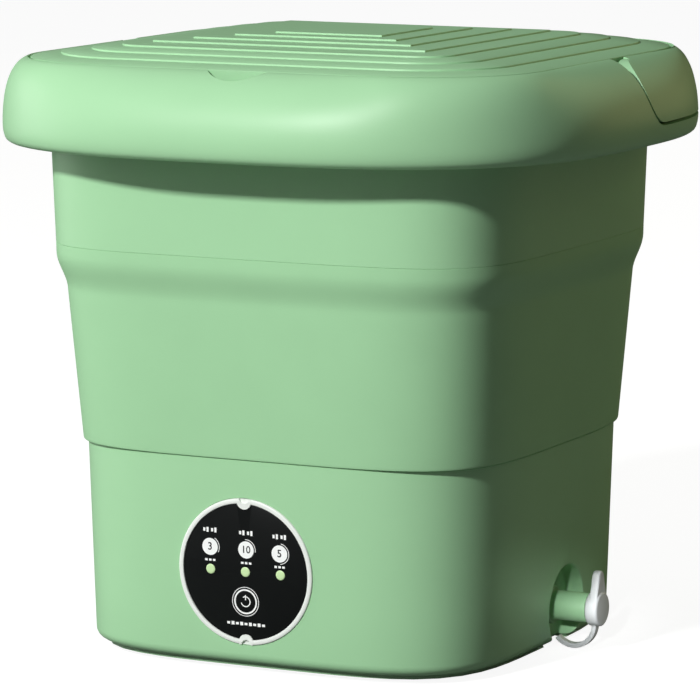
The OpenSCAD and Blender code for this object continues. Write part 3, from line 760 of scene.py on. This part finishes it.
def flatRing(x, y, radius, line, z, start=0, end=360):
    # a printed line, round a middle, from one angle to another
    steps = max(int((end - start) / 5), 6)
    deselectAll()
    bpy.ops.mesh.primitive_plane_add(size=mm)
    piece = named(bpy.context.object, "printLine")
    bpy.ops.object.mode_set(mode="EDIT")
    bpy.ops.mesh.select_all(action="SELECT")
    bpy.ops.mesh.merge(type="CENTER")
    bpy.ops.transform.translate(value=((radius - line / 2) * mm, 0, 0))
    bpy.ops.mesh.extrude_region_move(TRANSFORM_OT_translate={"value": (line * mm, 0, 0)})
    bpy.ops.mesh.select_all(action="SELECT")
    bpy.ops.mesh.extrude_region_move(TRANSFORM_OT_translate={"value": (0, 0, panel["printHigh"] * mm)})
    bpy.ops.mesh.select_all(action="SELECT")
    bpy.ops.mesh.spin(steps=steps, angle=math.radians(end - start), center=(0, 0, 0), axis=(0, 0, 1))
    bpy.ops.mesh.select_all(action="SELECT")
    bpy.ops.mesh.remove_doubles(threshold=mergeWithin)
    bpy.ops.mesh.normals_make_consistent(inside=False)
    bpy.ops.object.mode_set(mode="OBJECT")
    place(piece, Matrix.Translation((x * mm, y * mm, z * mm))
          @ Matrix.Rotation(math.radians(start), 4, "Z"))
    return piece


def printBar(x, y, wide, high, z, turn=0):
    bar = block("printBar", (-wide / 2, -high / 2, 0), (wide / 2, high / 2, panel["printHigh"]))
    place(bar, Matrix.Translation((x * mm, y * mm, z * mm)) @ Matrix.Rotation(math.radians(turn), 4, "Z"))
    return bar


def printNumber(digits, x, y, size, z):
    deselectAll()
    bpy.ops.object.text_add(location=(0, 0, 0))
    text = bpy.context.object
    text.data.body = digits
    text.data.size = size * mm
    text.data.align_x = "CENTER"
    text.data.align_y = "CENTER"
    text.data.extrude = panel["printHigh"] / 2 * mm
    text.data.offset = 0.06 * mm
    bpy.ops.object.convert(target="MESH")
    piece = named(bpy.context.object, "printNumber")
    place(piece, Matrix.Translation((x * mm, y * mm, z * mm)))
    makeNormals(piece)
    return piece


def makePanelPrint():
    z = panel["face"] - 0.01
    keys = (  # number, middle, arc from and to
        ("3", -18.0, 10.5, 60, 150),
        ("10", 0.6, 10.4, 95, 200),
        ("5", 17.8, 10.0, 80, 245),
    )
    prints, numbers = [], []
    for digits, x, y, start, end in keys:
        disc = drum("printDisc", 4.0, z, z + panel["printHigh"], (x, y), 64)
        prints += [disc, flatRing(x, y, 4.8, 0.3, z, start, end)]
        numbers.append(printNumber(digits, x, y, 5.0 if len(digits) == 1 else 4.7, z + panel["printHigh"]))
        for i in range(4):  # short dashes stand for a caption
            along = x - 2.85 + (i + (i > 1) * 0.4) * 1.7
            prints.append(printBar(along, y + 7.9, 1.1, 1.6 + 0.7 * (i % 2), z))
        for i in range(3):  # and three more under each number
            prints.append(printBar(x - 2 + i * 2, y - 6.2, 1.3, 1.0, z))
    for i in range(9):
        prints.append(printBar(-9 + i * 2.25, -24.4, 1.5, 1.1 + 0.5 * (i % 2), z))
    whole = joined("panelPrintPaintedGlow", prints)
    place(whole, panelFrame)
    finishPiece(whole, "base", printWhitePaintedGlow)
    numbers = joined("panelNumbers", numbers)
    place(numbers, panelFrame)
    finishPiece(numbers, "base", finishes["panel_black"])


def makeKey():
    radius, top = panel["keyR"], 0.4
    key = turnSection("powerButton", [(0, -3.4), (radius + 1.2, -3.4), (radius + 1.2, -2.5), (radius, -2.5),
                                      (radius, top - 0.35), (radius - 0.12, top - 0.1), (radius - 0.4, top),
                                      (0, top)], 128)
    stem = drum("keyStem", 2.0, -9.1, -3.3, sides=48)
    key = joined("powerButton", [key, stem])
    move = Matrix.Translation((0, panel["keyY"] * mm, 0))
    place(key, panelFrame @ move)
    finishPiece(key, "key", finishes["panel_black"], ["power_button"])
    z = top - 0.01
    sign = [flatRing(0, 0, radius - 0.35, 0.3, z), flatRing(0, 0, 5.5, 0.75, z),
            flatRing(0, 0, 2.3, 0.5, z, 125, 415), printBar(0, 1.9, 0.5, 2.4, z)]
    sign = joined("powerPrint", sign)
    place(sign, panelFrame @ move)
    finishPiece(sign, "key", printWhitePaintedGlow)


def makeLamps():
    radius = panel["lampR"]
    lamps = []
    for x in (-panel["lampX"], 0, panel["lampX"]):
        lamp = turnSection("lamp", [(0, -14), (radius, -14), (radius, 0.1), (radius - 0.15, 0.27),
                                    (radius - 0.5, 0.37), (radius * 0.4, 0.4), (0, 0.4)], 48)
        place(lamp, Matrix.Translation((x * mm, 0, 0)))
        lamps.append(lamp)
    lamps = joined("ledLights", lamps)
    place(lamps, panelFrame)
    finishPiece(lamps, "base", finishes["led_lens"], ["led_lights"])


makeBezel()
makeOverlay()
makePanelPrint()
makeKey()
makeLamps()
print("panel made")


# ---- the drain

drain = {
    "spoutR": 7.0,
    "bore": 4.5,
    "end": spoutHigh.x / mm,
    "collar": 9.0,
    "capR": 8.2,
    "capThick": 6.5,
    "tabR": 3.0,
    "tabUp": 15.2,
    "tabFrom": 2.0,
    "tabTo": 6.1,
    "strapR": 12.0,
    "strapThick": 2.3,
    "strapWide": 4.0,
    "strapTurn": 138,
}


def makeSpout():
    r, bore, end, collar = drain["spoutR"], drain["bore"], drain["end"], drain["collar"]
    section = [(bore, 84), (r, 84), (r, 91.5), (11, 91.5), (11, 94.4), (r, 94.4), (r, 97.1),
               (collar - 0.3, 97.1), (collar, 97.4), (collar, 99.5), (collar - 0.5, 100),
               (r + 0.4, 100), (r, 100.4), (r, end - 0.8), (r - 0.25, end - 0.25), (r - 0.8, end),
               (bore + 0.4, end), (bore, end - 0.4)]
    spout = turnSection("drainSpout", section, 96)
    place(spout, rodMatrix(0, drainY, drainZ))
    finishPiece(spout, "base", shellGreen, ["drain_spout"])


def makeCap():
    big, small, up = drain["capR"] - 0.6, drain["tabR"], drain["tabUp"]
    tilt = math.asin((big - small) / up)
    outline = []
    for middle, radius, start, end in ((up, small, tilt, math.pi - tilt),
                                       (0, big, math.pi - tilt, 2 * math.pi + tilt)):
        for i in range(25):
            a = start + (end - start) * i / 24
            outline.append((-(radius * math.sin(a) + middle), radius * math.cos(a)))
    end, low = drain["end"], drain["end"] + 0.3
    tab = outlinePlate("capTab", outline, end + drain["tabFrom"], end + drain["tabTo"])
    makeNormals(tab)
    softenEdges(tab, 1.0, 4, 60)
    plate = drum("drainCap", drain["capR"], low, low + drain["capThick"], sides=128)
    softenEdges(plate, 1.3, 4, 60)
    combine(plate, tab, "UNION")
    plug = drum("capPlug", 4.2, 108, low + 1, sides=64)
    plate = joined("drainCap", [plate, plug])
    place(plate, rodMatrix(0, drainY, drainZ))
    finishPiece(plate, "plug", finishes["silicone_grey"], ["drain_cap"])


def makeStrap():
    strapLow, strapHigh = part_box("cap_strap")
    r, thick, wide = drain["strapR"], drain["strapThick"], drain["strapWide"]
    centre = (strapHigh.x - r * mm, (strapLow.y + strapHigh.y) / 2, strapLow.z + r * mm)
    deselectAll()
    start = (centre[0] + (r - thick / 2) * mm, centre[1], centre[2] + mm)
    bpy.ops.mesh.primitive_plane_add(size=1, location=start)
    strap = named(bpy.context.object, "capStrap")
    strap.scale = (thick * mm, wide * mm, 1)
    settle(strap)
    bpy.ops.object.mode_set(mode="EDIT")
    bpy.ops.mesh.select_all(action="SELECT")
    bpy.ops.mesh.extrude_region_move(TRANSFORM_OT_translate={"value": (0, 0, -mm)})
    bpy.ops.mesh.spin(steps=40, angle=math.radians(-drain["strapTurn"]), center=centre, axis=(0, 1, 0))
    bpy.ops.mesh.select_all(action="SELECT")
    bpy.ops.mesh.remove_doubles(threshold=mergeWithin)
    bpy.ops.mesh.normals_make_consistent(inside=False)
    bpy.ops.object.mode_set(mode="OBJECT")
    softenEdges(strap, 0.35, 3, 50)
    finishPiece(strap, None, finishes["silicone_grey"], ["cap_strap"])
    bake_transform(strap)


makeSpout()
makeCap()
makeStrap()
print("drain made")


# ---- floor, light and camera

studio = {
    "key": 86.0,
    "keySize": 0.22,
    "keyPlace": (-0.52, -2.54, 1.78),
    "drainSpot": 110.0,
    "fill": 13.0,
    "warm": 9.0,
    "worldBright": 0.2,
    "worldDim": 0.004,
    "worldFrom": (-0.75, -0.45, 0.5),
    "paper": 1.0,
    "floorGlow": 0.92,
}
view = {
    "azimuth": 26.33,
    "elevation": 8.37,
    "distance": 2.1269,
    "aim": (-0.00219, 0.13637),
    "lens": 229.8,
}


def addLight(name, place, power, size, color=(1, 1, 1), target=(0, 0, 0.14)):
    deselectAll()
    bpy.ops.object.light_add(type="AREA", location=place)
    lamp = bpy.context.object
    lamp.name = name
    lamp.data.energy = power
    lamp.data.size = size
    lamp.data.color = color
    direction = Vector(target) - Vector(place)
    lamp.rotation_euler = direction.to_track_quat("-Z", "Y").to_euler()
    return lamp


def addDrainSpot():  # a narrow one, on the spout and its cap
    deselectAll()
    spot, target = Vector((0.53, -1.55, 0.62)), Vector((0.118, 0.011, 0.015))
    bpy.ops.object.light_add(type="SPOT", location=spot)
    lamp = bpy.context.object
    lamp.name = "drainSpot"
    lamp.data.energy = studio["drainSpot"]
    lamp.data.spot_size = math.radians(1.6)
    lamp.data.spot_blend = 0.6
    lamp.data.shadow_soft_size = 0.02
    lamp.rotation_euler = (target - spot).to_track_quat("-Z", "Y").to_euler()


def cameraOnly(nodes, links, seen, other, output):
    # the camera sees one shader and the light meets the other
    path = nodes.new("ShaderNodeLightPath")
    mix = nodes.new("ShaderNodeMixShader")
    links.new(path.outputs["Is Camera Ray"], mix.inputs[0])
    links.new(other, mix.inputs[1])
    links.new(seen, mix.inputs[2])
    links.new(mix.outputs[0], output)


def makeStudio():
    deselectAll()
    bpy.ops.mesh.primitive_plane_add(size=30, location=(0, 0, -0.0002))
    floor = named(bpy.context.object, "studioFloor")
    paper = finish("floorPaper", (0.2, 0.2, 0.2), 0.9, specular=0.1, grain=0.02)
    nodes, links = paper.node_tree.nodes, paper.node_tree.links
    pale = nodes.new("ShaderNodeEmission")
    pale.inputs["Strength"].default_value = studio["floorGlow"]
    seen = nodes.new("ShaderNodeAddShader")
    links.new(pale.outputs[0], seen.inputs[0])
    links.new(nodes["Principled BSDF"].outputs[0], seen.inputs[1])
    cameraOnly(nodes, links, seen.outputs[0], nodes["Principled BSDF"].outputs[0],
               nodes["Material Output"].inputs["Surface"])
    floor.data.materials.append(paper)
    addLight("keyLight", studio["keyPlace"], studio["key"], studio["keySize"])
    addDrainSpot()
    addLight("fillLight", (-1.9, -0.4, 0.4), studio["fill"], 1.2)
    addLight("warmLight", (1.1, 2.2, 1.0), studio["warm"], 1.6, (1, 0.95, 0.42))
    world = bpy.data.worlds.new("studioWorld")
    bpy.context.scene.world = world
    world.use_nodes = True
    nodes, links = world.node_tree.nodes, world.node_tree.links
    ambient = nodes["Background"]
    ambient.inputs["Color"].default_value = (1, 1, 1, 1)
    where = nodes.new("ShaderNodeTexCoord")
    side = nodes.new("ShaderNodeVectorMath")
    side.operation = "DOT_PRODUCT"
    side.inputs[1].default_value = studio["worldFrom"]
    spread = nodes.new("ShaderNodeMapRange")
    spread.inputs["From Min"].default_value = -0.6
    spread.inputs["To Min"].default_value = studio["worldDim"]
    spread.inputs["To Max"].default_value = studio["worldBright"]
    links.new(where.outputs["Generated"], side.inputs[0])
    links.new(side.outputs["Value"], spread.inputs["Value"])
    links.new(spread.outputs["Result"], ambient.inputs["Strength"])
    backdrop = nodes.new("ShaderNodeBackground")
    backdrop.inputs["Color"].default_value = (1, 1, 1, 1)
    backdrop.inputs["Strength"].default_value = studio["paper"]
    cameraOnly(nodes, links, backdrop.outputs[0], ambient.outputs[0],
               nodes["World Output"].inputs["Surface"])


def makeCamera():
    azimuth, elevation = math.radians(view["azimuth"]), math.radians(view["elevation"])
    aside, height = view["aim"]
    back = Vector((math.sin(azimuth) * math.cos(elevation), -math.cos(azimuth) * math.cos(elevation),
                   math.sin(elevation)))
    right = Vector((math.cos(azimuth), math.sin(azimuth), 0))
    up = back.cross(right)
    deselectAll()
    bpy.ops.object.camera_add(location=right * aside + Vector((0, 0, height)) + back * view["distance"])
    camera = bpy.context.object
    camera.name = "mainCamera"
    camera.rotation_euler = Matrix((right, up, back)).transposed().to_euler()
    camera.data.lens = view["lens"]
    camera.data.sensor_width = 36
    camera.data.clip_start = 0.05
    bpy.context.scene.camera = camera


makeStudio()
makeCamera()
bpy.context.scene.view_settings.view_transform = "Standard"
print("studio made")
